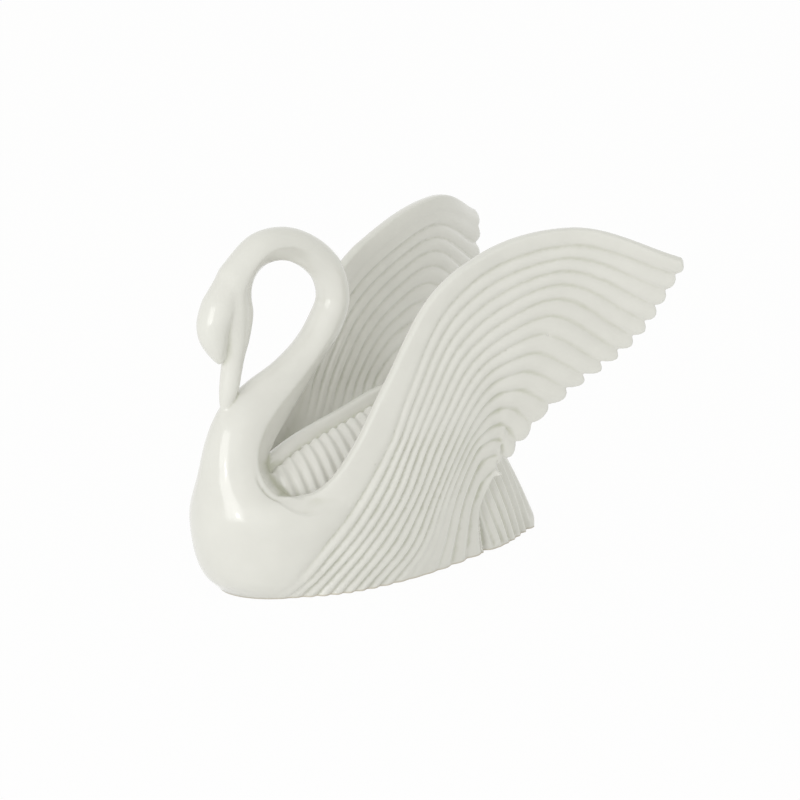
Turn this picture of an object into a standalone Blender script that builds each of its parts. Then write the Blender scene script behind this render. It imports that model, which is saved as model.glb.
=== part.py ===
"""A slip-cast ceramic swan with raised fluted wings, modelled as the one hollow piece that it is.

The swan faces -X and +Z is up. It is drawn from the front of its foot, and at the end it is moved so
that the origin lies under the middle of its box. Lengths are in millimetres until a mesh is made.
"""

import math

import bmesh
import bpy
import numpy as np

MM = 0.001

# Wall of the casting, and the hole that the slip is poured out of
WALL = 6.0
FLOOR = 5.0
VENT_DIAMETER = 24.0
VENT_X = 112.0

# Feathers
TIP_FEATHERS = 13
REAR_FEATHERS = 3
FLUTE_DEPTH = 2.6
INNER_FLUTE_DEPTH = 2.2
SCALLOP = 5.0
RIM_THICKNESS = 9.0
TIP_THICKNESS = 7.5
ROOT_THICKNESS = 20.0

# Ribbed back
BACK_RIBS = 28
BACK_RIB_DEPTH = 2.6
BACK_INSET = 5.0
MIDRIB_WIDTH = 10.0
MIDRIB_HEIGHT = 3.0

# How far the pieces reach below the ground before the foot is cut flat
SINK = 4.0

# Mesh density: of the drawn pieces, of the blended skin, and of the finished solid
OUTER_COLUMNS = 8
INNER_COLUMNS = 8
WING_ROWS = 60
BACK_COLUMNS = 8
BACK_ROWS = 16
FRONT_SIDES = 48
FRONT_RINGS = 150
FOREHEAD_SIDES = 32
FOREHEAD_RINGS = 24
VOXEL = 1.1
SMOOTHING_PASSES = 4
TRIANGLES = 11300

FEATHERS = TIP_FEATHERS + REAR_FEATHERS

# Wing: stations from the foot to the feather tips. Each is a curve across the feathers, with points on
# the leading edge, the first groove, three grooves further back and the trailing edge. Low down the
# leading edge runs forward as the lip of the hollow behind the neck, and ends inside the chest.
GUIDE_FEATHERS = (0, 1, 5, 9, 13, 16)
FOOT = ((0, 14, 0), (9, 29, 0), (46, 47.5, 0), (88, 54, 0), (144, 48, 0), (199, 34, 0))
ANKLE = ((10, 34, 66), (40, 54, 38), (79, 58, 34), (118, 55, 26), (152, 48, 19), (197, 34, 9))
KNEE = ((42, 48, 78), (68, 57, 67), (104, 58, 62), (136, 54, 57), (163, 48, 51), (194, 35, 24))
WAIST = ((67, 54, 103), (92, 59, 102), (121, 59, 97), (154, 55, 91), (181, 47, 80), (194, 35.5, 33))
THIGH = ((91, 57, 143), (106, 60.5, 134), (133, 60, 119), (164, 58.5, 112), (190, 48.5, 86), (195, 37, 40))
SHOULDER = ((138, 60, 208), (144, 61, 195), (160, 62, 160), (184, 61, 133), (199, 49, 87), (197, 39, 48))
ELBOW = ((187, 67.5, 233.5), (186, 65, 220), (191, 67, 180), (198, 65, 138), (201.5, 49, 84.5), (198, 40, 51.5))
CREST = ((238, 83, 241.5), (235, 81, 230), (228, 75, 191), (211, 68, 139), (203, 47.5, 81), (199, 41, 55))
TIP = ((307, 120.5, 214), (304, 116.5, 205.5), (284.5, 97, 159.5), (241, 74, 125), (206, 45, 73), (201, 43, 62))
STATIONS = (FOOT, ANKLE, KNEE, WAIST, THIGH, SHOULDER, ELBOW, CREST, TIP)
STATION_AT = (0, 0.11, 0.2, 0.3, 0.39, 0.56, 0.68, 0.8, 1)

# Back and tail: the spine's height and the foot's half-width at places along the body
SPINE_X = (-6, 12, 33, 96, 133, 160, 195, 222, 248, 262, 272)
SPINE_Z = (60, 80, 93, 116, 127, 128, 118, 95, 57, 28, 6)
FOOT_X = (-6, 10, 28, 62, 104, 136, 153, 199, 215, 237, 255, 272)
FOOT_Y = (8, 26, 38, 51, 54, 50, 49, 34, 31, 22, 12, 3)
BACK_START, BACK_END = 2, 270
RIB_RAKE = 14

# Front: rings from the foot up the chest and the neck and over to the bill. Each gives its centre in
# the mid-plane, the tilt of its long axis in degrees, its half depth and its half width. The forehead
# is a lobe with rings of the same kind, which overhangs the cheek and the bill.
CHEST = (
    (48, -4, 0, 52, 40),
    (48, 0, 0, 55.5, 43),
    (46, 10, 0, 63.5, 47.5),
    (44.5, 22, 0, 68.5, 50.5),
    (42.5, 38, 0, 70.5, 52.5),
    (38, 50, 0, 67.5, 52.5),
    (31.5, 59, -2, 60, 50),
    (22.5, 66, -5, 49.5, 44),
    (14, 72, -8, 40.5, 36),
    (8, 80, -10, 33.5, 29.5),
    (4, 91, -12, 28.8, 24.8),
    (5, 104, -20, 27.5, 21.3),
    (12, 117, -38, 27.5, 18.8),
    (28, 134, -48, 20.2, 15.2),
)
NECK = (
    (47.5, 151, -47, 13.4, 13),
    (67, 166, -49, 12.6, 12.8),
    (79.5, 181, -35, 12.6, 12.5),
    (86, 198.5, -6, 12.3, 12.3),
    (82, 218, 28, 11.9, 11.9),
    (66, 234.5, 62, 11.5, 11.5),
    (43.5, 243.5, 84, 11.5, 11.5),
    (22.5, 241, 106, 11.8, 11.8),
    (7.5, 230.5, 132, 12.4, 12.4),
)
HEAD = (
    (0, 217, 152, 15, 12.8),
    (0, 203, 168, 16.2, 12.2),
    (1, 190, 178, 14.2, 11),
    (1.5, 178, 182, 10.5, 9.4),
    (0.4, 168, 184, 8.1, 8),
    (-1.6, 157, 182, 7.3, 7.3),
    (-3.4, 147, 179, 7, 6.9),
    (-4.5, 138, 176, 6.8, 6.4),
    (-4, 129, 172, 4, 4),
)
FOREHEAD = (
    (-1, 222, 145, 7.5, 8),
    (-4.2, 215, 152, 11.3, 11),
    (-8.5, 208, 160, 12.5, 12),
    (-13.2, 201, 169, 12.3, 12.4),
    (-15.8, 194, 175, 11.8, 11.9),
    (-16.4, 187, 180, 10.9, 10.8),
    (-15.2, 180, 183, 9.2, 9.2),
    (-13, 173.5, 186, 6.8, 6.8),
    (-11, 167.5, 187, 3.6, 3.8),
)

# Hollow that the poured slip leaves: its two ends and how many rings it is drawn with
CAVITY_FRONT, CAVITY_END = 4, 230
CAVITY_RINGS = 13


def smooth_curve(knots, points, at, favour=-1):
    """A cubic curve through points at the given knots, read at each value of at.

    The slope at a knot is the mean of the slopes on both sides, each weighted by its span's length to the
    power favour: -1 follows a parabola, and a high number keeps the curve from bulging after a short span.
    """
    knots = np.asarray(knots, float)
    points = np.asarray(points, float)
    at = np.clip(np.asarray(at, float), knots[0], knots[-1])
    trail = (1,) * (points.ndim - 1)
    lengths = np.diff(knots).reshape(-1, *trail)
    chords = np.diff(points, axis=0) / lengths
    weights = lengths**favour
    inner = (chords[:-1] * weights[:-1] + chords[1:] * weights[1:]) / (weights[:-1] + weights[1:])
    slopes = np.concatenate([chords[:1], inner, chords[-1:]])
    span = np.clip(np.searchsorted(knots, at, side="right") - 1, 0, len(knots) - 2)
    width = (knots[span + 1] - knots[span]).reshape(-1, *trail)
    t = ((at - knots[span]).reshape(-1, *trail)) / width
    from_start = (2 * t**3 - 3 * t**2 + 1) * points[span] + (t**3 - 2 * t**2 + t) * width * slopes[span]
    from_end = (3 * t**2 - 2 * t**3) * points[span + 1] + (t**3 - t**2) * width * slopes[span + 1]
    return from_start + from_end


def ramp(low, high, value):
    """0 below low, 1 above high, and a smooth step between."""
    t = np.clip((value - low) / (high - low), 0, 1)
    return t * t * (3 - 2 * t)


def unit(vectors):
    return vectors / np.maximum(np.linalg.norm(vectors, axis=-1, keepdims=True), 1e-9)


def rib(across):
    """The profile across ribs: 1 along the middle of each one and 0 in the groove between two."""
    return np.abs(np.sin(np.pi * across)) ** 0.7


def wing_surface(across, along):
    """The wing's unfluted outer face for the +Y side, with its outward and onward directions."""
    stations = np.stack([smooth_curve(GUIDE_FEATHERS, station, across, 2) for station in STATIONS])
    face = smooth_curve(STATION_AT, stations, along).transpose(1, 0, 2)
    onward = unit(np.gradient(face, axis=1))
    outward = unit(np.cross(onward, np.gradient(face, axis=0)))
    outward[:, 0] = unit(outward[:, 0] * [1, 1, 0])
    return face, outward, onward


def scallops(across, along):
    """How far each feather's tip reaches past the grooves beside it."""
    reach = SCALLOP * rib(across)[:, None] * ramp(0.9, 1, along)[None]
    return reach * (across < TIP_FEATHERS)[:, None]


def outer_face(along):
    across = np.linspace(0, FEATHERS, FEATHERS * OUTER_COLUMNS + 1)
    face, outward, onward = wing_surface(across, along)
    feather, share = across[:, None], along[None]
    # The flutes fade on the chest, in the hollow above the thigh and at the leading edge
    valley = np.exp(-(((feather - 11.8) / 1.6) ** 2)) * (1 - ramp(0.08, 0.35, share))
    chest = (1 - ramp(0.8, 2.5, feather)) * (1 - ramp(0.02, 0.16, share))
    edge = 0.25 + 0.75 * ramp(0.5, 2, feather)
    depth = FLUTE_DEPTH * (1 - 0.85 * valley) * (1 - 0.8 * chest) * edge
    cut = depth * (1 - rib(feather))
    return face - outward * cut[:, :, None] + onward * scallops(across, along)[:, :, None]


def inner_face(along):
    across = np.linspace(0, FEATHERS, FEATHERS * INNER_COLUMNS + 1)
    face, outward, onward = wing_surface(across, along)
    feather, share = across[:, None], along[None]
    thick = RIM_THICKNESS + (TIP_THICKNESS - RIM_THICKNESS) * ramp(0.5, 1, share)
    thick = thick * (1 - 0.25 * ramp(0, 3, feather))
    thick = thick + (ROOT_THICKNESS - RIM_THICKNESS) * (1 - ramp(0.18, 0.42, share)) * ramp(0, 3, feather)
    cut = INNER_FLUTE_DEPTH * (1 - rib(feather)) * ramp(0.5, 2, feather) * ramp(0.25, 0.4, share)
    inner = face - outward * (thick - cut)[:, :, None]
    return inner + onward * scallops(across, along)[:, :, None]


def to_object(name, points, faces):
    mesh = bpy.data.meshes.new(name)
    mesh.from_pydata([tuple(point * MM) for point in points], [], faces)
    shape = bmesh.new()
    shape.from_mesh(mesh)
    bmesh.ops.recalc_face_normals(shape, faces=shape.faces)
    shape.to_mesh(mesh)
    shape.free()
    mesh.shade_smooth()
    obj = bpy.data.objects.new(name, mesh)
    bpy.context.scene.collection.objects.link(obj)
    return obj


def loft(name, rings):
    """A closed skin over rings of equal length, with a flat face on each end."""
    rings = np.asarray(rings)
    count = rings.shape[1]
    faces = []
    for start in range(0, (len(rings) - 1) * count, count):
        for i in range(count):
            j = (i + 1) % count
            faces.append((start + i, start + j, start + count + j, start + count + i))
    last = (len(rings) - 1) * count
    faces.append(tuple(range(count)))
    faces.append(tuple(range(last, last + count)))
    return to_object(name, rings.reshape(-1, 3), faces)


def end_strips(outer, inner, nose):
    """Faces that close one end of a wing: a few of the outer edge's columns to each of the inner one's."""
    ratio = OUTER_COLUMNS // INNER_COLUMNS
    faces = []
    for i in range(len(inner) - 1):
        faces.append((*outer[i * ratio : i * ratio + ratio + 1], inner[i + 1], inner[i]))
    faces.append((outer[0], inner[0], *nose))
    return faces


def wing(name, side):
    """One raised wing. Each ring runs over the outer face, back along the inner one and round the rim."""
    along = np.linspace(0, 1, WING_ROWS)
    outer = outer_face(along)
    inner = inner_face(along)
    middle = (outer[0] + inner[0]) / 2
    half = (outer[0] - inner[0]) / 2
    ahead = unit(outer[0] - outer[2]) * np.linalg.norm(half, axis=1, keepdims=True) / 2
    nose = [middle + half * math.cos(turn) + ahead * math.sin(turn) for turn in np.radians((135, 90, 45))]
    rings = np.concatenate([outer, inner[::-1], nose]).transpose(1, 0, 2) * (1, side, 1)
    rings[0, :, 2] = -SINK
    count = rings.shape[1]
    faces = []
    for start in range(0, (len(rings) - 1) * count, count):
        for i in range(count):
            j = (i + 1) % count
            faces.append((start + i, start + j, start + count + j, start + count + i))
    for start in (0, (len(rings) - 1) * count):
        edge = list(range(start, start + count))
        outer_edge = edge[: len(outer)]
        inner_edge = edge[len(outer) : len(outer) + len(inner)][::-1]
        faces.extend(end_strips(outer_edge, inner_edge, edge[len(outer) + len(inner) :]))
    return to_object(name, rings.reshape(-1, 3), faces)


def back():
    """The ribbed back and the tail. Each ring follows a rib from the foot over the spine to the foot."""
    share = np.linspace(0, 1, BACK_RIBS * BACK_COLUMNS + 1)
    wave = rib(BACK_RIBS * share)
    spine_x = BACK_START + (BACK_END - BACK_START) * share**0.95
    foot_x = spine_x + RIB_RAKE * (1 - share)
    half_turns = np.concatenate([(0, 0.05, 0.09), np.linspace(0.14, 1, BACK_ROWS)])
    around = np.concatenate([-half_turns[:0:-1], half_turns])
    rings = []
    for start, end, crest in zip(spine_x, foot_x, wave):
        down = np.abs(around)
        x = start + (end - start) * down**1.5
        height = smooth_curve(SPINE_X, SPINE_Z, x)
        half = smooth_curve(FOOT_X, FOOT_Y, x) - BACK_INSET * (1 - ramp(185, 215, x))
        cut = BACK_RIB_DEPTH * (1 - crest) * ramp(0.05, 0.12, down)
        turn = around * math.pi / 2
        y = (half - cut) * np.sin(turn)
        z = (height - cut) * np.cos(turn) ** 0.9
        z = z + MIDRIB_HEIGHT * np.exp(-((y / (MIDRIB_WIDTH / 2)) ** 4))
        z[0] = z[-1] = -SINK
        rings.append(np.stack([x, y, z], axis=1))
    return loft("back", rings)


def loft_along(name, stations, sides, rings):
    """A loft through ring stations, with its rings evenly spaced along the line of their centres."""
    stations = np.array(stations, float)
    steps = np.linalg.norm(np.diff(stations[:, :2], axis=0), axis=1)
    knots = np.concatenate([[0], np.cumsum(steps)])
    turn = np.linspace(0, 2 * math.pi, sides, endpoint=False)
    skin = []
    for x, z, tilt, deep, wide in smooth_curve(knots, stations, np.linspace(0, knots[-1], rings)):
        off = deep * np.cos(turn)
        lean = math.radians(tilt)
        skin.append(np.stack([x + off * math.cos(lean), wide * np.sin(turn), z + off * math.sin(lean)], axis=1))
    return loft(name, skin)


def cavity():
    """The hollow that the poured slip leaves, one wall inside the back and the chest."""
    rings = []
    for share in np.linspace(0, 1, CAVITY_RINGS):
        x = CAVITY_FRONT + (CAVITY_END - CAVITY_FRONT) * share
        ease = math.sqrt(max(1 - (2 * share - 1) ** 4, 0.05))
        height = (smooth_curve(SPINE_X, SPINE_Z, [x])[0] - FLOOR - 1.5 * WALL) * ease
        half = (smooth_curve(FOOT_X, FOOT_Y, [x])[0] - BACK_INSET - WALL) * ease
        turn = np.linspace(0, math.pi, CAVITY_RINGS)
        z = FLOOR + height * np.sin(turn)
        rings.append(np.stack([np.full_like(z, x), half * np.cos(turn), z], axis=1))
    return loft("cavity", rings)


def vent():
    """The pour hole through the middle of the foot."""
    turn = np.linspace(0, 2 * math.pi, 24, endpoint=False)
    x = VENT_X + VENT_DIAMETER / 2 * np.cos(turn)
    y = VENT_DIAMETER / 2 * np.sin(turn)
    return loft("vent", [np.stack([x, y, np.full_like(x, z)], axis=1) for z in (-FLOOR, 2 * FLOOR)])


def ground():
    """A block with its top at the ground, which cuts the foot flat."""
    corners = np.array(((-60, -90), (360, -90), (360, 90), (-60, 90)), float)
    return loft("ground", [np.column_stack([corners, np.full(4, z)]) for z in (-5 * SINK, 0.0)])


def glaze():
    material = bpy.data.materials.new("cream_glaze")
    material.use_nodes = True
    shader = material.node_tree.nodes["Principled BSDF"]
    shader.inputs["Base Color"].default_value = (0.80, 0.80, 0.74, 1)
    shader.inputs["Roughness"].default_value = 0.12
    return material


def blended(pieces):
    """The pieces as one skin: their insides removed, their joints softened and flat stretches thinned."""
    shape = bmesh.new()
    for piece in pieces:
        shape.from_mesh(piece.data)
    mesh = bpy.data.meshes.new("swan")
    shape.to_mesh(mesh)
    shape.free()
    obj = bpy.data.objects.new("swan", mesh)
    bpy.context.scene.collection.objects.link(obj)
    skin = obj.modifiers.new("skin", "REMESH")
    skin.mode = "VOXEL"
    skin.voxel_size = VOXEL * MM
    soften = obj.modifiers.new("soften", "SMOOTH")
    soften.factor = 0.5
    soften.iterations = SMOOTHING_PASSES
    obj.data = evaluated_mesh(obj)
    obj.modifiers.clear()
    obj.data.calc_loop_triangles()
    thin = obj.modifiers.new("thin", "DECIMATE")
    thin.ratio = TRIANGLES / len(obj.data.loop_triangles)
    return obj


def evaluated_mesh(obj):
    graph = bpy.context.evaluated_depsgraph_get()
    return bpy.data.meshes.new_from_object(obj.evaluated_get(graph))


def cut_away(obj, other):
    other.hide_render = True
    other.display_type = "WIRE"
    step = obj.modifiers.new(other.name, "BOOLEAN")
    step.operation = "DIFFERENCE"
    # Both meshes are closed, and the exact solver returns an empty mesh at some sizes of the head
    step.solver = "MANIFOLD"
    step.object = other


def centred(mesh):
    """Moves the mesh so that the origin is under the middle of its box, on the surface it stands on."""
    places = np.array([vertex.co for vertex in mesh.vertices])
    middle = (places.min(axis=0) + places.max(axis=0)) / 2
    for vertex in mesh.vertices:
        vertex.co.x -= middle[0]
        vertex.co.y -= middle[1]


def main():
    for old in list(bpy.data.objects):
        bpy.data.objects.remove(old)
    front = loft_along("front", CHEST + NECK + HEAD, FRONT_SIDES, FRONT_RINGS)
    forehead = loft_along("forehead", FOREHEAD, FOREHEAD_SIDES, FOREHEAD_RINGS)
    pieces = (back(), front, forehead, wing("wing_left", -1), wing("wing_right", 1))
    cutters = (ground(), cavity(), vent())
    swan = blended(pieces)
    for cutter in cutters:
        cut_away(swan, cutter)
    mesh = evaluated_mesh(swan)
    for other in (swan, *pieces, *cutters):
        bpy.data.objects.remove(other)
    centred(mesh)
    mesh.materials.clear()
    mesh.materials.append(glaze())
    mesh.shade_smooth()
    mesh.set_sharp_from_angle(angle=math.radians(40))
    bpy.context.scene.collection.objects.link(bpy.data.objects.new("swan", mesh))


main()
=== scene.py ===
"""A slip-cast swan in glossy cream glaze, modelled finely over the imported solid, in a plain studio.

The swan faces -X. Its curves are drawn in millimetres from the front of its foot, and the finished
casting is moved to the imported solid's place.
"""

import math

import bmesh
import bpy
import numpy as np
from mathutils import Matrix, Vector
from mathutils.bvhtree import BVHTree


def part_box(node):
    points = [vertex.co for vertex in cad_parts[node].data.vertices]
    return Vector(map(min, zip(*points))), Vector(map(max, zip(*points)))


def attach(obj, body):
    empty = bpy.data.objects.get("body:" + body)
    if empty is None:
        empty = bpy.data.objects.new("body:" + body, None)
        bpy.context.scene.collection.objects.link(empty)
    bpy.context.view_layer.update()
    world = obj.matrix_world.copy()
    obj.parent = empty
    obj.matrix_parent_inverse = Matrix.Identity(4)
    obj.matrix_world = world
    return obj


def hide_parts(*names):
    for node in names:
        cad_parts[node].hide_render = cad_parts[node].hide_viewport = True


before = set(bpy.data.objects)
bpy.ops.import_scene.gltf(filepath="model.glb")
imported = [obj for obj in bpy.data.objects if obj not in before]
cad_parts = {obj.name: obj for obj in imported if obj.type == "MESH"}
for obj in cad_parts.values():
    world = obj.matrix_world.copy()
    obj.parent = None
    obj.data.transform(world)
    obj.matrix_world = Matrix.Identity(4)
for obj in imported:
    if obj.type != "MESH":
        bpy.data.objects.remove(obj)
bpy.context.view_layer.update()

MM = 0.001

# Wall of the casting, and the hole that the slip is poured out of
WALL = 6.0
FLOOR = 5.0
VENT_DIAMETER = 24.0
VENT_X = 112.0

# Feathers and their flutes. A name with SHARE says where something starts and ends on the way up the wing,
# from 0 at the foot to 1 at the feather tips.
TIP_FEATHERS = 13
REAR_FEATHERS = 3
FEATHERS = TIP_FEATHERS + REAR_FEATHERS
FLUTE_DEPTH = 2.6
INNER_FLUTE_DEPTH = 2.8
INNER_FLUTE_SHARE = (0.25, 0.4)
FLUTE_ROUNDNESS = 0.75
LOW_ROUNDNESS = 1.2
BACK_ROUNDNESS = 2.0
WING_ROWS = 130
FEATHER_COLUMNS = 10

# Trailing edge: how far the feather tips stand out, and the feathers where the edge bows out and back. A
# name with AT gives the feather in the middle and the spread in feathers.
SCALLOP = 5.0
FRONT_SCALLOP = 0.6
SCALLOP_SHARE = (0.9, 1)
TRAIL_BOW = 2.5
TRAIL_BOW_AT = (7.6, 1.8)
TRAIL_HOLLOW = 2.6
TRAIL_HOLLOW_AT = (10.7, 1.0)

# Valley in the wing above the thigh, where the flutes nearly fade out
VALLEY_AT = (11.8, 1.6)
VALLEY_SHARE = (0.08, 0.35)
VALLEY_FADING = 0.85

# Thickness of the wing, and the step in its leading edge at the shoulder: start, peak and end
RIM_THICKNESS = 8.5
TIP_THICKNESS = 7.5
ROOT_THICKNESS = 18.0
ROOT_SHARE = (0.18, 0.42)
BLADE_THINNING = 0.25
STEP_SHARE = (0.54, 0.6, 0.62)
STEP_REACH = 2.0

# Rounded nose of the leading edge: its points by angle, how far it stands out in half thicknesses, and how
# much less it does above the step
NOSE_ANGLES = (150, 120, 90, 60, 30)
NOSE_REACH = 0.5
NOSE_FLATTER = 0.25

# Ribbed back. CREASE_AT is the crease's middle and spread and BESIDE_MIDRIB where the ribs start, both in
# half widths of the midrib, and a name with X says where something changes along the body.
BACK_RIBS = 26
BACK_RIB_DEPTH = 2.2
BACK_INSET = 5.0
INSET_FADE_X = (185, 215)
MIDRIB_WIDTH = 9.5
MIDRIB_HEIGHT = 3.0
MIDRIB_CREASE = 5.0
CREASE_AT = (1.35, 0.3)
CREASE_FADE_X = (150, 200)
BESIDE_MIDRIB = (1.1, 1.5)
BACK_START, BACK_END = 2, 272
TAIL_X = (190, 225)
TAIL_RIBS_DEEPER = 0.7
TAIL_LEAN = 0.5
TAIL_LEAN_X = (150, 215)
RIB_RAKE = 14
FRONT_CLOSER = 0.3
FRONT_RIBS_END = 110.0

# How far the pieces reach below the ground before they are cut, how finely they are blended, and the angle
# past which an edge is sharp
SINK = 4.0
SHARP_ANGLE = math.radians(50)
VOXEL = 0.8
SMOOTHING = 6
COAT_PASSES = 3
TRIANGLES = 185000

# Wing: stations from the foot to the feather tips, each a curve across the feathers
GUIDE_FEATHERS = (0, 1, 5, 9, 13, 16)
FOOT = ((4, 14, 0), (12, 29.5, 0), (48, 48.5, 0), (88, 54, 0), (144, 48, 0), (199, 34, 0))
ANKLE = ((12, 33, 65), (41, 53.5, 38), (79, 58, 34), (118, 55, 26), (152, 48, 19), (197, 34, 9))
KNEE = ((42, 48, 76), (68, 57, 67), (104, 58, 62), (136, 54, 57), (163, 48, 51), (194, 35, 24))
WAIST = ((67, 54, 103), (92, 59, 102), (121, 59, 97), (154, 55, 91), (181, 47, 80), (194, 35.5, 33))
THIGH = ((91, 57, 143), (106, 60.5, 134), (133, 60, 119), (164, 58.5, 112), (190, 48.5, 86), (195, 37, 40))
SHOULDER = ((138, 60, 208), (144, 61, 195), (160, 62, 160), (184, 61, 133), (199, 49, 87), (197, 39, 48))
ELBOW = ((187, 67, 233.4), (186, 65, 220), (191, 67, 180), (198, 65, 138), (201.5, 49, 84.5), (198, 40, 51.5))
CREST = ((238, 82.5, 241.6), (235, 80.5, 230), (228, 75, 191), (211, 68, 139), (203, 47.5, 81), (199, 41, 55))
TIP = (
    (306.5, 121.5, 215.2),
    (306, 115.5, 205.5),
    (285.5, 93.5, 160),
    (240.5, 74, 124.3),
    (206.5, 45.5, 72.5),
    (201, 43, 62),
)
STATIONS = (FOOT, ANKLE, KNEE, WAIST, THIGH, SHOULDER, ELBOW, CREST, TIP)
STATION_AT = (0, 0.11, 0.2, 0.3, 0.39, 0.56, 0.68, 0.8, 1)

# Back and tail: the spine's height and the foot's half-width at places along the body
SPINE_X = (-6, 12, 33, 96, 133, 160, 195, 219.5, 243, 257.5, 269, 275)
SPINE_Z = (60, 80, 93, 116, 127, 128, 117, 91.5, 58, 34, 13, 2)
FOOT_X = (-6, 10, 28, 62, 104, 136, 153, 199, 215, 237, 255, 272)
FOOT_Y = (8, 26, 38, 51, 54, 50, 49, 34, 31, 22, 12, 3)

# Rings are given by their centre in the mid-plane, the tilt of their long axis in degrees, half depth and
# half width. On the neck and head the last number says how far one half is drawn out to a keel: the rear
# and outer half where it is above 0, and the inner half, towards the loop, where it is below.
BREAST = (
    (48, -4, 0, 52, 40),
    (48, 0, 0, 54, 41.5),
    (48, 10, 0, 65.5, 47.5),
    (49, 22, 0, 73, 51.5),
    (51, 38, 0, 79, 54),
    (54, 50, 0, 83.5, 56),
    (56, 57, 0, 85, 56.5),
    (54, 62, 0, 82.5, 55),
    (48, 66, 0, 75, 52),
    (38, 69.5, -1, 64.5, 48),
    (28, 72, -2, 53.5, 43),
    (20, 74, -3, 44.5, 37),
)
NECK = (
    (34, 54, -1, 63.5, 52, 1),
    (31.5, 59, -2, 60, 50, 1),
    (22.5, 66, -5, 49.5, 44, 1),
    (14.5, 72, -8, 41, 36.5, 1),
    (8, 80, -10, 33.5, 29.5, 1),
    (4.6, 91, -12, 28.1, 24.8, 1),
    (6, 104, -20, 26.2, 21.3, 0.9),
    (12.6, 116.8, -38, 26.6, 18.8, 0.9),
    (29.5, 132.4, -48, 22.4, 15.2, 0.85),
    (49.5, 148.3, -47, 16.6, 13.2, 0.7),
    (67.5, 166, -49, 12.8, 13, 0.45),
    (79.6, 181.2, -35, 13.2, 12.7, 0.2),
    (86.6, 198.5, -6, 12, 12.3, 0),
    (82, 218, 28, 12, 12, -0.2),
    (66, 234.2, 62, 11.8, 12, -0.5),
    (44, 243, 84, 11.8, 12, -0.75),
    (23.3, 240.6, 106, 12.3, 12.2, -0.75),
    (9.3, 229.2, 132, 12.7, 12.5, -0.65),
    (1.6, 216.6, 152, 16, 12.6, -0.4),
    (1, 203, 168, 16.6, 12, -0.3),
    (1.5, 190, 178, 14.6, 11, -0.3),
    (2, 178, 182, 10.9, 9.4, -0.2),
    (0.8, 168, 184, 8.4, 8, -0.1),
    (-1.2, 157, 182, 7.5, 7.4, 0),
    (-3, 147, 179, 7, 6.7, 0),
    (-5, 139, 176, 5.3, 5.1, 0),
    (-6.5, 131.5, 172, 3.3, 3.1, 0),
    (-7, 125, 170, 1.4, 1.4, 0),
)
FOREHEAD = (
    (1.5, 225, 143, 6.5, 7.5),
    (-3.8, 217.5, 150, 11.3, 10.8),
    (-8.8, 208.8, 160, 12.6, 12),
    (-12.6, 201, 169, 12.4, 12.5),
    (-14.9, 194, 175, 12, 12),
    (-15.6, 187, 180, 11, 10.8),
    (-14.7, 180, 183, 9.2, 9.2),
    (-12.8, 174, 186, 6.8, 6.8),
    (-11.2, 169, 187, 4.2, 4.2),
    (-10.4, 165.5, 187, 1.5, 1.5),
)

# Hollow behind the neck: its outline on the +Y side, its floor and top, and how far its walls lean in
PIT = ((9, 22), (13, 29.5), (21, 37.5), (31, 43), (45, 47), (60, 48.5), (78, 46), (90, 36))
PIT_FLOOR = 62.0
PIT_TOP = 110.0
PIT_LEAN = 0.95

# Band round the outside of the hollow's lip: the lip's line on the +Y side, the band's width along it, its
# depth, and where it fades out, up the neck and towards the wing
LIP = ((8, 18, 112), (5, 22, 96), (8, 27, 82), (14, 33, 74.5), (22, 39, 71.5), (31.5, 44, 72.5), (45, 49, 81))
BAND_WIDTH = (5, 6, 7, 8.5, 12, 14, 15)
BAND_DEPTH = 1.7
BAND_TOP = (84, 100)
BAND_REAR = (24, 48)

# The breast and the root of the wing are faired smooth below the lip, before their flutes are cut. Below
# FAIRED_BELOW nothing lies inside, so the hollow's outline doesn't count there.
FAIRED_BELOW = 56
LIP_X = (0, 6, 14, 22, 31.5, 45, 57, 70)
LIP_Y = (-5, 22, 33, 39, 44, 48, 50, 50)
LIP_Z = (98, 86, 75, 72, 73, 81, 90, 104)
FAIRED_Z = (0, 25, 60, 90)
FAIRED_X = (52, 60, 84, 100)
FAIRING_PASSES = 300

# Spots in the mid-plane that are faired too: x, z, radius and how strongly
BROW = (-15, 222, 12, 1)
BILL_END = (-7, 128, 9, 0.3)

# Flutes low on the wing are cut after the pieces are blended, in the skin this near to the drawn wing
LATE_SHARE = (0.24, 0.36)
NEAR_WING = (4, 8)
LEAST_FACING = 0.3
LOW_FLUTES_TOP = 160
LOW_FLUTES_INSIDE = 20

# Cast hollow, along the body
CAVITY_START, CAVITY_END = 4, 230

# Camera: it looks down at the swan from its left front. The drawing's origin is seen at this pixel.
CAMERA_TURN = math.radians(38)
CAMERA_RISE = math.radians(14)
CAMERA_DISTANCE = 2.38
CAMERA_LENS = 153
CAMERA_SENSOR = 36
PIXEL_LENGTH = 0.0007
ORIGIN_PIXEL = (235, 592)
MIDDLE_PIXEL = 400

# Glaze colours
CREAM_DARK = (0.805, 0.80, 0.77, 1)
CREAM_LIGHT = (0.83, 0.825, 0.795, 1)
# Groove colour: partly pooled glaze, partly painted shade, darker and greener where the skin lies in a hollow
GLAZE_POOLED_AND_SHADE = (0.60, 0.61, 0.51, 1)
GLAZE_THIN = (0.84, 0.84, 0.81, 1)
BARE_CLAY = (0.66, 0.62, 0.54, 1)


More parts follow.
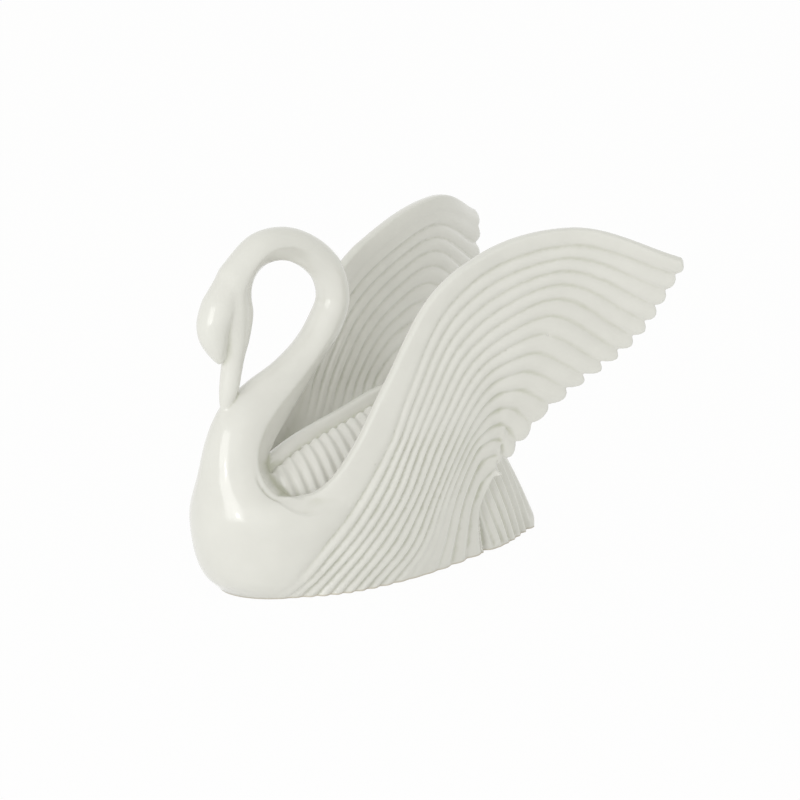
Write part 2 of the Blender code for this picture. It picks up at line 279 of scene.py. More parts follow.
def smooth_curve(knots, points, at, favour=-1):
    """A cubic curve through points at the given knots, read at each value of at.

    The slope at a knot is the mean of the slopes on both sides, each weighted by its span's length to the
    power favour: -1 follows a parabola, and a high number keeps the curve from bulging after a short span.
    """
    knots = np.asarray(knots, float)
    points = np.asarray(points, float)
    at = np.clip(np.asarray(at, float), knots[0], knots[-1])
    trail = (1,) * (points.ndim - 1)
    lengths = np.diff(knots).reshape(-1, *trail)
    chords = np.diff(points, axis=0) / lengths
    weights = lengths**favour
    inner = (chords[:-1] * weights[:-1] + chords[1:] * weights[1:]) / (weights[:-1] + weights[1:])
    slopes = np.concatenate([chords[:1], inner, chords[-1:]])
    span = np.clip(np.searchsorted(knots, at, side="right") - 1, 0, len(knots) - 2)
    width = (knots[span + 1] - knots[span]).reshape(-1, *trail)
    t = ((at - knots[span]).reshape(-1, *trail)) / width
    from_start = (2 * t**3 - 3 * t**2 + 1) * points[span] + (t**3 - 2 * t**2 + t) * width * slopes[span]
    from_end = (3 * t**2 - 2 * t**3) * points[span + 1] + (t**3 - t**2) * width * slopes[span + 1]
    return from_start + from_end


def ramp(low, high, value):
    """0 below low, 1 above high, and a smooth step between."""
    t = np.clip((value - low) / (high - low), 0, 1)
    return t * t * (3 - 2 * t)


def bell(value, centre, spread):
    """1 at the centre, fading to 0 on both sides."""
    return np.exp(-(((value - centre) / spread) ** 2))


def unit(vectors):
    return vectors / np.maximum(np.linalg.norm(vectors, axis=-1, keepdims=True), 1e-9)


class Skin:
    """A grid of points with what the carving needs at each: feather, directions, depth and reach."""

    def __init__(self, points, feather, into, depth, onward, reach):
        shape = points.shape[:2]
        self.points = points
        self.feather = np.broadcast_to(feather, shape)
        self.into = into
        self.depth = np.broadcast_to(depth, shape)
        self.onward = onward
        self.reach = np.broadcast_to(reach, shape)


def wing_face():
    """The unfluted outer face of the +Y wing, with the feather and the share of the way up at each point.

    Its leading edge swells towards the shoulder and steps back there.
    """
    across = np.linspace(0, FEATHERS, FEATHERS * FEATHER_COLUMNS + 1)
    along = np.linspace(0, 1, WING_ROWS)
    stations = np.stack([smooth_curve(GUIDE_FEATHERS, station, across, 2) for station in STATIONS])
    face = smooth_curve(STATION_AT, stations, along).transpose(1, 0, 2)
    start, peak, end = STEP_SHARE
    step = STEP_REACH * ramp(start, peak, along) * (1 - ramp(peak, end, along))
    step = step * (1 - ramp(0, 1.2, across[:, None]))
    face = face - unit(np.gradient(face, axis=1)) * step[:, :, None]
    return face, across[:, None], along[None]


def flute_depth(feather, share):
    """Depth of the outer flutes. They fade in the valley above the thigh and at the leading edge."""
    valley = bell(feather, *VALLEY_AT) * (1 - ramp(*VALLEY_SHARE, share))
    edge = ramp(0.4, 1, feather)
    return FLUTE_DEPTH * (1 - VALLEY_FADING * valley) * edge


def low_flutes():
    """The low part of the +Y wing's outer face, with the feather and the flute depth at each point.

    The front feathers' flutes start a little above the ground.
    """
    face, feather, share = wing_face()
    rows = int(WING_ROWS * LATE_SHARE[1]) + 2
    feather = np.broadcast_to(feather, face.shape[:2])[:, :rows]
    share = np.broadcast_to(share, face.shape[:2])[:, :rows]
    depth = flute_depth(feather, share) * (1 - ramp(*LATE_SHARE, share))
    ahead = ramp(-0.02, 0.13, share + 0.04 * (feather - 1))
    return face[:, :rows], feather, depth * ahead


def wing_thickness(feather, share):
    """Thickest at the root, thinner behind the leading edge and towards the tips."""
    thick = RIM_THICKNESS + (TIP_THICKNESS - RIM_THICKNESS) * ramp(0.5, 1, share)
    thick = thick * (1 - BLADE_THINNING * ramp(0, 3, feather))
    return thick + (ROOT_THICKNESS - RIM_THICKNESS) * (1 - ramp(*ROOT_SHARE, share)) * ramp(0, 4, feather)


def tip_reach(feather, share):
    """How far the middle of each feather's tip stands out beyond its sides, at the trailing edge."""
    reach = SCALLOP * (FRONT_SCALLOP + (1 - FRONT_SCALLOP) * ramp(1, 5, feather))
    reach = reach + TRAIL_BOW * bell(feather, *TRAIL_BOW_AT) - TRAIL_HOLLOW * bell(feather, *TRAIL_HOLLOW_AT)
    return reach * ramp(*SCALLOP_SHARE, share) * (feather < TIP_FEATHERS)


def wing_skins():
    """The unfluted outer and inner faces of the +Y wing, from its leading edge to its trailing edge."""
    face, feather, share = wing_face()
    onward = unit(np.gradient(face, axis=1))
    outward = unit(np.cross(onward, np.gradient(face, axis=0)))
    outward[:, 0] = unit(outward[:, 0] * [1, 1, 0])
    depth = flute_depth(feather, share) * ramp(*LATE_SHARE, share)
    inner_depth = INNER_FLUTE_DEPTH * ramp(0.5, 2, feather) * ramp(*INNER_FLUTE_SHARE, share)
    reach = tip_reach(feather, share)
    thick = wing_thickness(feather, share)
    outer = Skin(face, feather, -outward, depth, onward, reach)
    inner = Skin(face - outward * thick[:, :, None], feather, outward, inner_depth, onward, reach)
    return outer, inner


def mesh_of(name, points, faces):
    mesh = bpy.data.meshes.new(name)
    mesh.from_pydata((points * MM).tolist(), [], faces)
    shape = bmesh.new()
    shape.from_mesh(mesh)
    bmesh.ops.recalc_face_normals(shape, faces=shape.faces)
    shape.to_mesh(mesh)
    shape.free()
    return mesh


CARVING = ("feather", "into", "depth", "onward", "reach")


def with_carving(mesh, feather, into, depth, onward, reach):
    """Stores on the mesh what the flute tree reads, under the names in CARVING."""
    for name, values in (("feather", feather), ("depth", depth * MM), ("reach", reach * MM)):
        layer = mesh.attributes.new(name, "FLOAT", "POINT")
        layer.data.foreach_set("value", values.astype(np.float32).ravel())
    for name, values in (("into", into), ("onward", onward)):
        layer = mesh.attributes.new(name, "FLOAT_VECTOR", "POINT")
        layer.data.foreach_set("vector", values.astype(np.float32).ravel())
    return mesh


def drop_carving(mesh):
    """Removes what with_carving has stored, where it is still there."""
    for name in CARVING:
        layer = mesh.attributes.get(name)
        if layer:
            mesh.attributes.remove(layer)


def linked(name, mesh):
    obj = bpy.data.objects.new(name, mesh)
    bpy.context.scene.collection.objects.link(obj)
    return obj


def tube_faces(rings, count):
    """Faces of a closed skin over rings, each with count points."""
    faces = []
    for start in range(0, (rings - 1) * count, count):
        for i in range(count):
            j = (i + 1) % count
            faces.append((start + i, start + j, start + count + j, start + count + i))
    return faces


def loft(name, rings):
    """A closed skin over rings of equal length, with a flat face on each end."""
    rings = np.asarray(rings)
    count = rings.shape[1]
    last = (len(rings) - 1) * count
    faces = tube_faces(len(rings), count)
    faces.append(tuple(range(count)))
    faces.append(tuple(range(last, last + count)))
    return mesh_of(name, rings.reshape(-1, 3), faces)


def wing(name, side):
    """One raised wing, still unfluted. Each ring runs over the outer face, back inside and round the rim."""
    outer, inner = wing_skins()
    middle = (outer.points[0] + inner.points[0]) / 2
    half = (outer.points[0] - inner.points[0]) / 2
    above = ramp(*STEP_SHARE[1:], np.linspace(0, 1, WING_ROWS))[:, None]
    behind = 4
    ahead = unit(outer.points[0] - outer.points[behind]) * np.linalg.norm(half, axis=1, keepdims=True)
    ahead = ahead * (NOSE_REACH - NOSE_FLATTER * above)
    nose = np.stack([middle + half * math.cos(t) + ahead * math.sin(t) for t in np.radians(NOSE_ANGLES)])
    bare = np.zeros(nose.shape[:2])
    still = np.zeros_like(nose)
    rim = Skin(nose, bare, still, bare, np.broadcast_to(outer.onward[:1], nose.shape), bare)
    skins = (outer, inner, rim)

    def ringed(kind):
        layers = [getattr(skin, kind) for skin in skins]
        layers[1] = layers[1][::-1]
        joined = np.concatenate(layers)
        return joined.transpose(1, 0, 2) * (1, side, 1) if joined.ndim == 3 else joined.T

    points = ringed("points")
    points[0, :, 2] = -SINK
    count = points.shape[1]
    faces = tube_faces(WING_ROWS, count)
    width = len(outer.points)
    for start in (0, (WING_ROWS - 1) * count):
        for i in range(width - 1):
            faces.append((start + i, start + i + 1, start + 2 * width - 2 - i, start + 2 * width - 1 - i))
        faces.append((start, start + 2 * width - 1, *range(start + 2 * width, start + count)))
    mesh = mesh_of(name, points.reshape(-1, 3), faces)
    return linked(name, with_carving(mesh, *(ringed(kind) for kind in CARVING)))


def back(columns=12, rows=40):
    """The back and the tail, still without ribs. Each ring follows a rib from foot to foot over the spine.

    The ribs stand closer in front, and the tail's ribs lean back with the tail, across the rings. Points lie
    closer together beside the midrib.
    """
    beside = 0.12
    share = np.linspace(0, 1, BACK_RIBS * columns + 1)
    pitch = (BACK_END - BACK_START) / BACK_RIBS
    spine_x = BACK_START + (BACK_END - BACK_START) * share
    foot_x = spine_x + RIB_RAKE * (1 - share)
    half_turns = np.concatenate([np.linspace(0, beside, 9)[:-1], np.linspace(beside, 1, rows)])
    around = np.concatenate([-half_turns[:0:-1], half_turns])
    down = np.abs(around)
    turn = around * math.pi / 2
    rings = []
    depths = []
    ribs = []
    for start, end in zip(spine_x, foot_x):
        x = start + (end - start) * down**1.5
        height = smooth_curve(SPINE_X, SPINE_Z, x)
        half = smooth_curve(FOOT_X, FOOT_Y, x) - BACK_INSET * (1 - ramp(*INSET_FADE_X, x))
        y = half * np.sin(turn)
        z = height * np.cos(turn) ** (1.2 - 0.3 * ramp(70, 130, x))
        from_midrib = np.abs(y) / (MIDRIB_WIDTH / 2)
        z = z + MIDRIB_HEIGHT * np.exp(-(from_midrib**6))
        z = z - MIDRIB_CREASE * bell(from_midrib, *CREASE_AT) * (1 - ramp(*CREASE_FADE_X, x))
        z[0] = z[-1] = -SINK
        rings.append(np.stack([x, y, z], axis=1))
        deeper = 1 + TAIL_RIBS_DEEPER * ramp(*TAIL_X, x)
        depths.append(BACK_RIB_DEPTH * deeper * ramp(*BESIDE_MIDRIB, from_midrib))
        closer = FRONT_CLOSER * min(start - FRONT_RIBS_END, 0)
        ribs.append((start - BACK_START + closer + TAIL_LEAN * z * ramp(*TAIL_LEAN_X, x)) / pitch)
    rings = np.stack(rings)
    into = -np.stack([np.zeros_like(turn), np.sin(turn), np.cos(turn)], axis=1)
    into = np.broadcast_to(into, rings.shape)
    mesh = loft("back", rings)
    still = np.zeros_like(rings)
    bare = np.zeros(rings.shape[:2])
    return linked("back", with_carving(mesh, np.stack(ribs), into, np.stack(depths), still, bare))


def rings_of(stations, sides, rings):
    """Rings evenly spaced along a line of stations, as BREAST, NECK and FOREHEAD give them."""
    stations = np.array([station if len(station) == 6 else (*station, 0) for station in stations], float)
    steps = np.linalg.norm(np.diff(stations[:, :2], axis=0), axis=1)
    knots = np.concatenate([[0], np.cumsum(steps)])
    turn = np.linspace(0, 2 * math.pi, sides, endpoint=False)
    skin = []
    for x, z, tilt, deep, wide, keel in smooth_curve(knots, stations, np.linspace(0, knots[-1], rings)):
        off = deep * np.cos(turn)
        lean = math.radians(tilt)
        drawn = np.sign(np.sin(turn)) * (1 - np.abs(np.cos(turn)))
        share = np.where(np.cos(turn) * keel > 0, abs(keel), 0)
        side = (1 - share) * np.sin(turn) + share * drawn
        skin.append(np.stack([x + off * math.cos(lean), wide * side, z + off * math.sin(lean)], axis=1))
    return skin


def breast():
    """The full breast, hollowed out behind the neck."""
    obj = linked("breast", loft("breast", rings_of(BREAST, sides=120, rings=80)))
    half = smooth_curve(range(len(PIT)), PIT, np.linspace(0, len(PIT) - 1, 40))
    outline = np.concatenate([half, half[::-1] * (1, -1)])
    centre = outline.mean(axis=0)
    rings = []
    for z, size in ((PIT_FLOOR, PIT_LEAN), (PIT_TOP, 1.0)):
        rings.append(np.column_stack([centre + (outline - centre) * size, np.full(len(outline), z)]))
    pit = linked("pit", loft("pit", rings))
    cut_away(obj, pit)
    settle(obj)
    bpy.data.objects.remove(pit)
    return obj


def neck():
    """Neck, head and bill, as one loft that bends over on itself."""
    return linked("neck", loft("neck", rings_of(NECK, sides=80, rings=260)))


def forehead():
    """The long lobe of the forehead, which overhangs the cheek and the bill."""
    return linked("forehead", loft("forehead", rings_of(FOREHEAD, sides=64, rings=60)))


def cavity():
    """The hollow that the poured slip leaves, about one wall inside the back and chest, with rounded ends."""
    rings = []
    steps = 25
    for share in np.linspace(0, 1, steps):
        x = CAVITY_START + (CAVITY_END - CAVITY_START) * share
        ease = math.sqrt(max(1 - (2 * share - 1) ** 4, 0.05))
        height = (smooth_curve(SPINE_X, SPINE_Z, [x])[0] - FLOOR - 1.5 * WALL) * ease
        half = (smooth_curve(FOOT_X, FOOT_Y, [x])[0] - BACK_INSET - WALL) * ease
        turn = np.linspace(0, math.pi, steps)
        z = FLOOR + height * np.sin(turn)
        rings.append(np.stack([np.full_like(z, x), half * np.cos(turn), z], axis=1))
    return linked("cavity", loft("cavity", rings))


def vent():
    """The pour hole through the middle of the foot."""
    turn = np.linspace(0, 2 * math.pi, 48, endpoint=False)
    x = VENT_X + VENT_DIAMETER / 2 * np.cos(turn)
    y = VENT_DIAMETER / 2 * np.sin(turn)
    rings = [np.stack([x, y, np.full_like(x, z)], axis=1) for z in (-FLOOR, 2 * FLOOR)]
    return linked("vent", loft("vent", rings))


def ground():
    """A block with its top at the ground, which cuts the foot flat."""
    corners = np.array(((-60, -90), (360, -90), (360, 90), (-60, 90)), float)
    rings = [np.column_stack([corners, np.full(4, z)]) for z in (-5 * SINK, 0.0)]
    return linked("ground", loft("ground", rings))


class Tree:
    """Adds nodes to a tree: one call takes the type, its settings, and the values or links of its sockets."""

    def __init__(self, tree):
        self.tree = tree

    def add(self, kind, settings=None, **sockets):
        node = self.tree.nodes.new(kind)
        for name, value in (settings or {}).items():
            setattr(node, name, value)
        for name, value in sockets.items():
            place = int(name[1:]) if name[0] == "_" and name[1:].isdigit() else name.replace("_", " ")
            self.feed(node.inputs[place], value)
        return node

    def feed(self, socket, value):
        if isinstance(value, Signal):
            value = value.socket
        if isinstance(value, bpy.types.NodeSocket):
            self.tree.links.new(value, socket)
        else:
            socket.default_value = value

    def signal(self, kind, settings=None, output=0, **sockets):
        return Signal(self, self.add(kind, settings, **sockets).outputs[output])

    def math(self, operation, *values):
        sockets = {f"_{i}": value for i, value in enumerate(values)}
        return self.signal("ShaderNodeMath", {"operation": operation}, **sockets)


class Signal:
    """A number that varies over the surface. Sums written with it become Math nodes."""

    def __init__(self, tree, socket):
        self.tree = tree
        self.socket = socket

    def __add__(self, other):
        return self.tree.math("ADD", self, other)

    __radd__ = __add__

    def __rsub__(self, other):
        return self.tree.math("SUBTRACT", other, self)

    def __mul__(self, other):
        return self.tree.math("MULTIPLY", self, other)

    __rmul__ = __mul__

    def __pow__(self, other):
        return self.tree.math("POWER", self, other)

    def between(self, low, high):
        """0 below low, 1 above high, smooth between. It is falling where low is the larger."""
        smooth = {"interpolation_type": "SMOOTHSTEP"}
        return self.tree.signal("ShaderNodeMapRange", smooth, Value=self, From_Min=low, From_Max=high)


def flute_tree(finish):
    """Carves flutes into a skin that has been given its feathers, and carries each feather's tip onward."""
    tree = bpy.data.node_groups.new("Flutes", "GeometryNodeTree")
    tree.interface.new_socket("Geometry", in_out="INPUT", socket_type="NodeSocketGeometry")
    tree.interface.new_socket("Roundness", in_out="INPUT", socket_type="NodeSocketFloat")
    tree.interface.new_socket("Geometry", in_out="OUTPUT", socket_type="NodeSocketGeometry")
    t = Tree(tree)
    given = t.add("NodeGroupInput")

    def stored(name, kind="FLOAT"):
        return t.signal("GeometryNodeInputNamedAttribute", {"data_type": kind}, Name=name)

    wave = t.math("SINE", stored("feather") * math.pi)
    crest = t.math("ABSOLUTE", wave) ** given.outputs["Roundness"]
    cut = stored("depth") * (1 - crest)
    into = stored("into", "FLOAT_VECTOR")
    onward = stored("onward", "FLOAT_VECTOR")
    out = stored("reach") * crest
    inward = t.add("ShaderNodeVectorMath", {"operation": "SCALE"}, Vector=into, Scale=cut)
    forward = t.add("ShaderNodeVectorMath", {"operation": "SCALE"}, Vector=onward, Scale=out)
    shift = t.add("ShaderNodeVectorMath", {"operation": "ADD"}, _0=inward.outputs[0], _1=forward.outputs[0])
    moved = t.add("GeometryNodeSetPosition", Geometry=given.outputs["Geometry"], Offset=shift.outputs[0])
    real = t.add("GeometryNodeRealizeInstances", Geometry=moved.outputs[0])
    glazed = t.add("GeometryNodeSetMaterial", Geometry=real.outputs[0], Material=finish)
    t.add("NodeGroupOutput", Geometry=glazed.outputs[0])
    return tree


def settle(obj):
    """Keeps what the object's modifiers make as its plain mesh."""
    graph = bpy.context.evaluated_depsgraph_get()
    obj.data = bpy.data.meshes.new_from_object(obj.evaluated_get(graph))
    obj.modifiers.clear()


def carve(obj, tree, roundness):
    """Runs the flute tree on the object and keeps the result as a plain mesh."""
    step = obj.modifiers.new("flutes", "NODES")
    step.node_group = tree
    for item in tree.interface.items_tree:
        if item.in_out == "INPUT" and item.name == "Roundness":
            step[item.identifier] = roundness
    settle(obj)


def places_of(mesh, kind="co"):
    """The mesh's points or normals as an array."""
    values = np.empty(3 * len(mesh.vertices), np.float32)
    mesh.vertices.foreach_get(kind, values)
    return values.reshape(-1, 3)


def drop_bubbles(mesh):
    """Keeps the skin with the most points, so that no bubble stays inside it."""
    shape = bmesh.new()
    shape.from_mesh(mesh)
    left = set(shape.verts)
    skins = []
    while left:
        skin = [left.pop()]
        for vert in skin:
            for edge in vert.link_edges:
                other = edge.other_vert(vert)
                if other in left:
                    left.remove(other)
                    skin.append(other)
        skins.append(skin)
    skins.sort(key=len)
    bmesh.ops.delete(shape, geom=[vert for skin in skins[:-1] for vert in skin], context="VERTS")
    shape.to_mesh(mesh)
    shape.free()


def fair(obj):
    """Smooths the breast, the wing roots, the brow and the bill's end, so that no joint shows on them.

    The breast is faired ahead of the flutes, below the lip, above the foot and outside the hollow.
    """
    x, y, z = places_of(obj.data).T / MM
    ahead = np.interp(z, FAIRED_Z, FAIRED_X) - x
    below = np.interp(x, LIP_X, LIP_Z) - z
    outside = np.maximum(np.abs(y) - np.interp(x, LIP_X, LIP_Y), FAIRED_BELOW - z)
    share = ramp(0, 12, ahead) * ramp(0, 6, below) * ramp(0.5, 4, z) * ramp(-1, 3, outside)
    for spot_x, spot_z, radius, strength in (BROW, BILL_END):
        away = np.hypot(x - spot_x, z - spot_z)
        share = np.maximum(share, strength * (1 - ramp(radius / 2, radius, away)))
    group = obj.vertex_groups.new(name="faired")
    steps = 8
    levels = np.round(share * steps).astype(int)
    for level in range(1, steps + 1):
        group.add(np.flatnonzero(levels == level).tolist(), level / steps, "REPLACE")
    fairing = obj.modifiers.new("fairing", "SMOOTH")
    fairing.factor = 0.5
    fairing.iterations = FAIRING_PASSES
    fairing.vertex_group = "faired"
    settle(obj)
    obj.vertex_groups.clear()


def press_band(mesh):
    """Presses the shallow band round the outside of the hollow's lip, which makes a soft fold beside it."""
    line = smooth_curve(range(len(LIP)), LIP, np.linspace(0, len(LIP) - 1, 60))
    places = places_of(mesh)
    x, y, z = places.T / MM
    y = np.abs(y)
    near = np.flatnonzero((x < 60) & (x > -20) & (z > 40) & (z < 125) & (y > 12))
    spots = np.stack([x, y, z], axis=1)[near]
    gaps = np.linalg.norm(spots[:, None] - line[None], axis=2)
    nearest = gaps.argmin(axis=1)
    beside = line[nearest]
    width = np.interp(nearest, np.linspace(0, len(line) - 1, len(LIP)), BAND_WIDTH)
    outside = ramp(-0.5, 2.5, (spots[:, 1] - beside[:, 1]) - 0.5 * (spots[:, 2] - beside[:, 2]))
    ends = (1 - ramp(*BAND_TOP, spots[:, 2])) * (1 - ramp(*BAND_REAR, spots[:, 0]))
    gap = gaps.min(axis=1)
    depth = BAND_DEPTH * ramp(0, 5, gap) * (1 - ramp(width - 3, width, gap)) * outside * ends
    places[near] -= places_of(mesh, "normal")[near] * depth[:, None] * MM
    mesh.vertices.foreach_set("co", places.ravel())


def mark_low_flutes(mesh):
    """Gives the blended skin the feather and the depth of the nearest place on a wing, low on the wings.

    Skin that faces across the wing's face stays plain.
    """
    face, feather, depth = low_flutes()
    rows, columns = feather.shape
    corners = [tuple(point) for point in face.reshape(-1, 3)]
    cells = []
    for i in range(rows - 1):
        for j in range(columns - 1):
            start = i * columns + j
            cells.append((start, start + 1, start + columns + 1, start + columns))
    wings = BVHTree.FromPolygons(corners, cells)
    places = places_of(mesh) / MM
    normals = places_of(mesh, "normal")
    sides = np.where(places[:, 1] < 0, -1, 1)
    found = np.zeros((3, len(places)))
    search = NEAR_WING[1] + 1
    for i in np.flatnonzero((places[:, 2] < LOW_FLUTES_TOP) & (np.abs(places[:, 1]) > LOW_FLUTES_INSIDE)):
        x, y, z = places[i]
        near, normal, cell, distance = wings.find_nearest((x, abs(y), z), search)
        if near is None or abs(normal.x * normals[i][0] + normal.y * normals[i][1] * sides[i]) < LEAST_FACING:
            continue
        row, column = divmod(cell, columns - 1)
        first = Vector(corners[row * columns + column])
        across = Vector(corners[(row + 1) * columns + column]) - first
        on = min(max((near - first).dot(across) / max(across.length_squared, 1e-9), 0), 1)
        found[0, i] = feather[row, column] * (1 - on) + feather[row + 1, column] * on
        found[1, i] = depth[row, column] * (1 - on) + depth[row + 1, column] * on
        found[2, i] = distance
    depths = found[1] * (1 - ramp(*NEAR_WING, found[2]))
    still = np.zeros_like(places)
    with_carving(mesh, found[0], -normals, depths, still, np.zeros(len(places)))


def blended(pieces, tree):
    """The pieces as one skin: their insides removed, their joints softened and flat stretches thinned."""
    shape = bmesh.new()
    for piece in pieces:
        shape.from_mesh(piece.data)
    mesh = bpy.data.meshes.new("glazed_swan")
    shape.to_mesh(mesh)
    shape.free()
    obj = linked("glazed_swan", mesh)
    skin = obj.modifiers.new("skin", "REMESH")
    skin.mode = "VOXEL"
    skin.voxel_size = VOXEL * MM
    soften = obj.modifiers.new("soften", "SMOOTH")
    soften.factor = 0.5
    soften.iterations = SMOOTHING
    settle(obj)
    drop_carving(obj.data)
    drop_bubbles(obj.data)
    fair(obj)
    press_band(obj.data)
    mark_low_flutes(obj.data)
    carve(obj, tree, LOW_ROUNDNESS)
    glaze_coat = obj.modifiers.new("glaze_coat", "SMOOTH")
    glaze_coat.factor = 0.5
    glaze_coat.iterations = COAT_PASSES
    settle(obj)
    obj.data.calc_loop_triangles()
    thin = obj.modifiers.new("thin", "DECIMATE")
    thin.ratio = TRIANGLES / len(obj.data.loop_triangles)
    settle(obj)
    return obj


def cut_away(obj, other):
    """Cuts the other body out. The exact solver loses this fine mesh; the manifold one keeps it closed."""
    step = obj.modifiers.new(other.name, "BOOLEAN")
    step.operation = "DIFFERENCE"
    step.solver = "MANIFOLD"
    step.object = other


def store_hollowness(mesh, rounds=14):
    """Stores at each point how deep it lies in a hollow, in millimetres: below 0 on a crest."""
    points = places_of(mesh).astype(float)
    normals = places_of(mesh, "normal")
    ends = np.array([edge.vertices for edge in mesh.edges])
    first = np.concatenate([ends[:, 0], ends[:, 1]])
    second = np.concatenate([ends[:, 1], ends[:, 0]])
    near = np.maximum(np.bincount(first, minlength=len(points)), 1)
    smooth = points.copy()
    for _ in range(rounds):
        mean = np.stack([np.bincount(first, smooth[second, i], len(points)) / near for i in range(3)], axis=1)
        smooth = (smooth + mean) / 2
    hollow = np.einsum("ij,ij->i", smooth - points, normals) / MM
    for _ in range(3):
        hollow = (hollow + np.bincount(first, hollow[second], len(points)) / near) / 2
    layer = mesh.attributes.new("hollow", "FLOAT", "POINT")
    layer.data.foreach_set("value", hollow.astype(np.float32))


def colour_mix(t, factor, first, second):
    return t.add("ShaderNodeMix", {"data_type": "RGBA"}, _0=factor, _6=first, _7=second).outputs[2]


def seen_plainly(t):
    """1 for what is seen, also in a reflection or through something clear, and 0 for light that falls."""
    path = t.add("ShaderNodeLightPath").outputs
    seen = t.math("MAXIMUM", path["Is Camera Ray"], path["Is Glossy Ray"])
    return t.math("MAXIMUM", seen, path["Is Transmission Ray"])


def cream_glaze():
    """Glossy cream glaze. It is darker and greener in grooves, partly from pooled glaze and partly as painted
    shade, is paler on crests and stops short of the foot.
    """
    material = bpy.data.materials.new("cream_glaze")
    material.use_nodes = True
    t = Tree(material.node_tree)
    shader = material.node_tree.nodes["Principled BSDF"]
    place = t.add("ShaderNodeTexCoord").outputs["Object"]
    hollow = t.signal("ShaderNodeAttribute", {"attribute_name": "hollow"}, output="Fac")
    broad = t.signal("ShaderNodeTexNoise", Vector=place, Scale=9.0, Detail=2.0)
    fine = t.signal("ShaderNodeTexNoise", Vector=place, Scale=55.0, Detail=3.0)
    speck = t.signal("ShaderNodeTexNoise", Vector=place, Scale=420.0, Detail=1.0)
    height = t.signal("ShaderNodeSeparateXYZ", output="Z", Vector=place)
    # Darker, greener glaze in grooves and creases: partly pooled glaze, partly painted shade
    pooled_and_shade = hollow.between(0.02, 0.9) * (0.75 + 0.5 * broad)
    thinned = hollow.between(-0.05, -1.0)
    bare = height.between(0.0016, 0.0006)
    cream = colour_mix(t, fine.between(0.3, 0.7), CREAM_DARK, CREAM_LIGHT)
    cream = colour_mix(t, pooled_and_shade, cream, GLAZE_POOLED_AND_SHADE)
    cream = colour_mix(t, thinned * 0.6, cream, GLAZE_THIN)
    cream = colour_mix(t, bare * (0.7 + 0.3 * speck), cream, BARE_CLAY)
    t.feed(shader.inputs["Base Color"], cream)
    t.feed(shader.inputs["Roughness"], 0.15 + 0.05 * fine + 0.5 * bare)
    t.feed(shader.inputs["Coat Weight"], 0.25 - 0.25 * bare)
    shader.inputs["Coat Roughness"].default_value = 0.1
    shader.inputs["Coat IOR"].default_value = 1.5
    shader.inputs["IOR"].default_value = 1.5
    ripple = t.add("ShaderNodeBump", Strength=0.12, Distance=0.0006, Height=0.8 * fine + 0.2 * speck)
    t.feed(shader.inputs["Normal"], ripple.outputs[0])
    return material


def paper_floor():
    """White seamless paper, which keeps a faint shadow."""
    material = bpy.data.materials.new("paper")
    material.use_nodes = True
    t = Tree(material.node_tree)
    nodes = material.node_tree.nodes
    nodes.remove(nodes["Principled BSDF"])
    paper = t.add("ShaderNodeBsdfDiffuse", Color=(0.95, 0.95, 0.95, 1))
    white = t.add("ShaderNodeEmission", Color=(1, 1, 1, 1), Strength=1.0)
    mixed = t.add("ShaderNodeMixShader", _0=0.96 * seen_plainly(t), _1=paper.outputs[0], _2=white.outputs[0])
    t.feed(nodes["Material Output"].inputs["Surface"], mixed.outputs[0])
    return material


def swan_casting(finish):
    """The whole casting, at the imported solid's place, and the middle of the drawing's box along X."""
    tree = flute_tree(finish)
    fluted = (back(), wing("wing_left", -1), wing("wing_right", 1))
    for piece, roundness in zip(fluted, (BACK_ROUNDNESS, FLUTE_ROUNDNESS, FLUTE_ROUNDNESS)):
        carve(piece, tree, roundness)
    plain = (breast(), neck(), forehead())
    cutters = (ground(), cavity(), vent())
    swan = blended(fluted + plain, tree)
    for cutter in cutters:
        cut_away(swan, cutter)
    settle(swan)
    for other in (*fluted, *plain, *cutters):
        bpy.data.objects.remove(other)
    low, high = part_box("swan")
    places = places_of(swan.data).astype(float)
    middle = (places.min(axis=0) + places.max(axis=0)) / 2
    shift = ((low.x + high.x) / 2 - middle[0], (low.y + high.y) / 2 - middle[1], 0)
    swan.data.transform(Matrix.Translation(shift))
    drop_carving(swan.data)
    swan.data.materials.clear()
    swan.data.materials.append(finish)
    swan.data.shade_smooth()
    swan.data.set_sharp_from_angle(angle=SHARP_ANGLE)
    store_hollowness(swan.data)
    return swan, middle[0]


def floor():
    reach = 6
    corners = [(-reach, -reach, 0), (reach, -reach, 0), (reach, reach, 0), (-reach, reach, 0)]
    mesh = bpy.data.meshes.new("floor")
    mesh.from_pydata(corners, [], [(0, 1, 2, 3)])
    mesh.materials.append(paper_floor())
    return linked("floor", mesh)


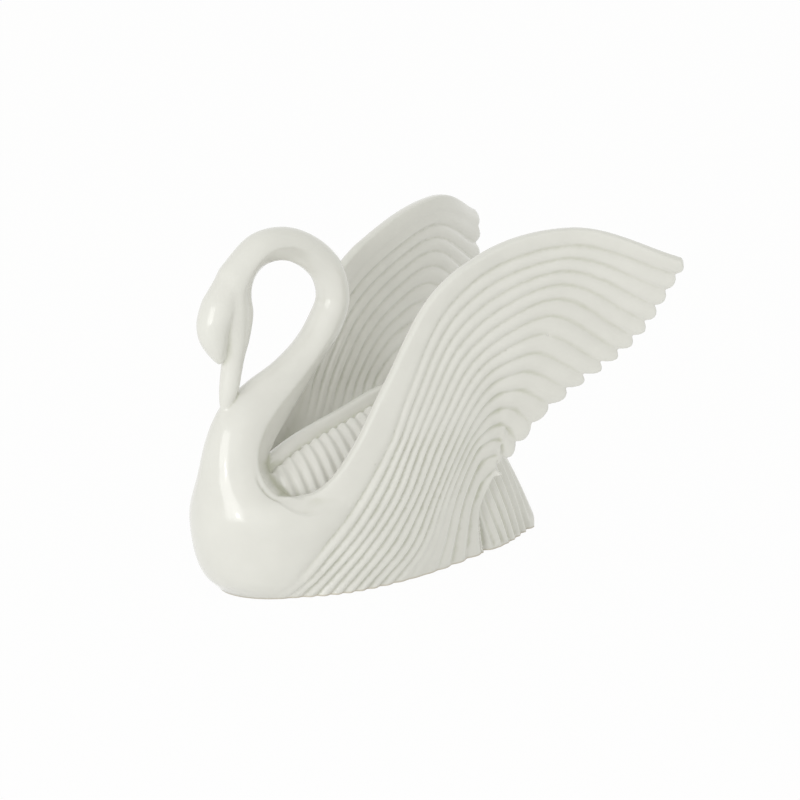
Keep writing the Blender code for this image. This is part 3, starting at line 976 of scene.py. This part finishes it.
def soft_box(name, place, target, size, energy):
    light = bpy.data.lights.new(name, "AREA")
    light.shape = "RECTANGLE"
    light.size, light.size_y = size
    light.energy = energy
    obj = linked(name, light)
    obj.location = place
    obj.rotation_euler = (Vector(target) - Vector(place)).to_track_quat("-Z", "Y").to_euler()


def studio():
    """A large soft lamp and a small one that gives the glints, a weak fill, and a pale room all round."""
    aim = (0, 0, 0.11)
    soft_box("key", (-2.45, -0.95, 0.75), aim, (1.4, 1.3), 15)
    soft_box("glint", (-2.3, -1.2, 0.45), aim, (0.12, 0.14), 1.3)
    soft_box("fill", (-1.6, -2.2, 0.9), aim, (2.2, 1.6), 3)
    world = bpy.data.worlds.new("studio")
    world.use_nodes = True
    bpy.context.scene.world = world
    t = Tree(world.node_tree)
    seen = seen_plainly(t)
    sky = world.node_tree.nodes["Background"]
    t.feed(sky.inputs["Color"], colour_mix(t, seen, (1, 1, 0.93, 1), (1, 1, 1, 1)))
    t.feed(sky.inputs["Strength"], 0.69 + 0.31 * seen)


def photo_camera(front_of_foot):
    """The camera of the picture. front_of_foot is the X of the drawing's origin."""
    level = math.cos(CAMERA_RISE)
    backward = Vector((-math.sin(CAMERA_TURN) * level, -math.cos(CAMERA_TURN) * level, math.sin(CAMERA_RISE)))
    right = Vector((math.cos(CAMERA_TURN), -math.sin(CAMERA_TURN), 0))
    up = backward.cross(right)
    aside = (ORIGIN_PIXEL[0] - MIDDLE_PIXEL) * PIXEL_LENGTH
    below = (ORIGIN_PIXEL[1] - MIDDLE_PIXEL) * PIXEL_LENGTH
    place = backward * CAMERA_DISTANCE - right * aside + up * below
    place.x += front_of_foot
    data = bpy.data.cameras.new("camera")
    data.sensor_width = CAMERA_SENSOR
    data.lens = CAMERA_LENS
    camera = linked("camera", data)
    matrix = Matrix((right, up, backward)).transposed().to_4x4()
    matrix.translation = place
    camera.matrix_world = matrix
    bpy.context.scene.camera = camera


bpy.context.scene.view_settings.view_transform = "Standard"
swan, drawing_middle = swan_casting(cream_glaze())
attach(swan, "root")
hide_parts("swan")
floor()
studio()
photo_camera(-drawing_middle)
